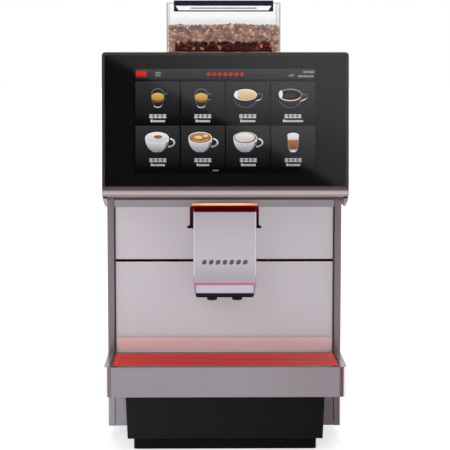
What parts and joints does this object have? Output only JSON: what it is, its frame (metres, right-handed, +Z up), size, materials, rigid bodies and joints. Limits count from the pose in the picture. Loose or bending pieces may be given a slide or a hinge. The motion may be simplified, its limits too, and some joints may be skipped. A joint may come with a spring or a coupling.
{
  "type": "hot coffee vending machine",
  "caption": "Counter-top bean-to-cup coffee machine with a flip-up touch screen head, height-adjustable spout, drip tray, grounds drawer and bean hopper.",
  "frame": {"origin": "on the counter, under the centre of the machine's bounding box", "axes": "+Z up, +Y towards the back of the machine, front faces -Y, +X to the right seen from the front"},
  "size_m": [0.413, 0.54, 0.7762],
  "materials": {
    "screen_glass": "polished black cover glass over the display",
    "bronze_metal": "champagne bronze, satin",
    "grey_panel": "light silver, semi-gloss, reflects softly",
    "body_grey": "warm grey, satin",
    "case_dark": "dark grey powder coat",
    "black_plastic": "black, fine texture",
    "black_gloss": "gloss black",
    "red_grille": "red, satin",
    "light_bar": "translucent diffuser lit orange from behind",
    "clear_plastic": "clear moulded plastic, lightly worn",
    "pale_plastic": "pale grey plastic",
    "bean_brown": "roasted coffee beans, oily sheen",
    "steel": "bare steel",
    "zinc": "zinc-plated sheet",
    "brass": "turned brass",
    "aluminium": "cast, machined",
    "circuit": "green circuit board",
    "rubber": "black rubber",
    "white_plastic": "white moulding",
    "lcd": "display module behind the glass"
  },
  "bodies": {
    "cabinet": {"base_plate": "zinc", "plinth": "black_plastic", "rubber_feet": "rubber", "drawer_housing": "case_dark", "front_skirt": "body_grey", "pillar_left": "body_grey", "pillar_right": "body_grey", "side_panel_left": "body_grey", "side_panel_right": "body_grey", "rear_panel": "zinc", "top_rail": "zinc", "top_cover": "body_grey", "head_bulkhead": "zinc", "header_bar": "body_grey", "led_strip": "light_bar", "upper_fascia": "grey_panel", "lower_fascia": "grey_panel", "spout_guide": "black_plastic", "head_hinges": "steel", "hinge_pins": "steel", "deck_plate": "zinc", "brew_frame": "white_plastic", "brew_rods": "steel", "upper_piston": "white_plastic", "brew_motor": "steel", "coffee_boiler": "aluminium", "water_pump": "brass", "grinder_body": "black_plastic", "grinder_chute": "white_plastic", "control_board": "circuit", "fan_frame": "black_plastic", "fan_guard": "steel", "water_inlet": "brass", "drain_spigot": "white_plastic", "power_inlet": "black_plastic", "rear_screws": "steel"},
    "head": {"head_shell": "bronze_metal", "bezel": "bronze_metal", "cover_glass": "screen_glass", "lcd_panel": "lcd", "display_board": "circuit"},
    "spout": {"spout_cover": "grey_panel", "spout_carriage": "black_plastic", "spout_core": "pale_plastic", "spout_base": "black_gloss", "outlet_nozzles": "black_gloss"},
    "tray": {"tray_frame": "body_grey"},
    "grille": {"drip_grille": "red_grille"},
    "drawer": {"grounds_drawer": "black_plastic"},
    "hopper": {"hopper_body": "clear_plastic", "coffee_beans": "bean_brown", "lid_pin": "steel"},
    "lid": {"hopper_lid": "black_gloss", "lid_pull": "pale_plastic"},
    "gate": {"bean_gate": "black_plastic"},
    "chamber": {"brew_chamber": "white_plastic"},
    "screw": {"lead_screw": "steel"},
    "burr": {"grinder_burr": "steel"},
    "fan": {"fan_rotor": "black_plastic"},
    "rocker": {"power_rocker": "black_gloss"}
  },
  "joints": [
    {"name": "head_flip", "type": "hinge", "parent": "cabinet", "child": "head", "pos_m": [0, -0.12, 0.6774], "axis": [-1, 0, 0], "range_deg": [0, 60]},
    {"name": "spout_slide", "type": "slide", "parent": "cabinet", "child": "spout", "axis": [0, 0, 1], "range_m": [-0.055, 0]},
    {"name": "tray_slide", "type": "slide", "parent": "cabinet", "child": "tray", "axis": [0, -1, 0], "range_m": [0, 0.12]},
    {"name": "grille_lift", "type": "slide", "parent": "tray", "child": "grille", "axis": [0, 0, 1], "range_m": [0, 0.035]},
    {"name": "drawer_slide", "type": "slide", "parent": "cabinet", "child": "drawer", "axis": [0, -1, 0], "range_m": [0, 0.22]},
    {"name": "hopper_lift", "type": "slide", "parent": "cabinet", "child": "hopper", "axis": [0, 0, 1], "range_m": [0, 0.1]},
    {"name": "lid_hinge", "type": "hinge", "parent": "hopper", "child": "lid", "pos_m": [0, 0.12, 0.7739], "axis": [-1, 0, 0], "range_deg": [0, 95]},
    {"name": "gate_slide", "type": "slide", "parent": "hopper", "child": "gate", "axis": [0, -1, 0], "range_m": [0, 0.06]},
    {"name": "chamber_slide", "type": "slide", "parent": "cabinet", "child": "chamber", "axis": [0, 0, 1], "range_m": [0, 0.058]},
    {"name": "screw_turn", "type": "hinge", "parent": "cabinet", "child": "screw", "pos_m": [0, 0.036, 0.2], "axis": [0, 0, 1], "range_deg": [0, 2611]},
    {"name": "burr_spin", "type": "hinge", "parent": "cabinet", "child": "burr", "pos_m": [0, 0.0575, 0.57], "axis": [0, 0, 1], "continuous": true},
    {"name": "fan_spin", "type": "hinge", "parent": "cabinet", "child": "fan", "pos_m": [-0.11, 0.235, 0.59], "axis": [0, 1, 0], "continuous": true},
    {"name": "rocker_tilt", "type": "hinge", "parent": "cabinet", "child": "rocker", "pos_m": [-0.125, 0.243, 0.07], "axis": [1, 0, 0], "range_deg": [0, 14]}
  ],
  "couplings": [
    {"joint": "screw_turn", "follows": "chamber_slide", "rad_per_m": 785.4}
  ]
}
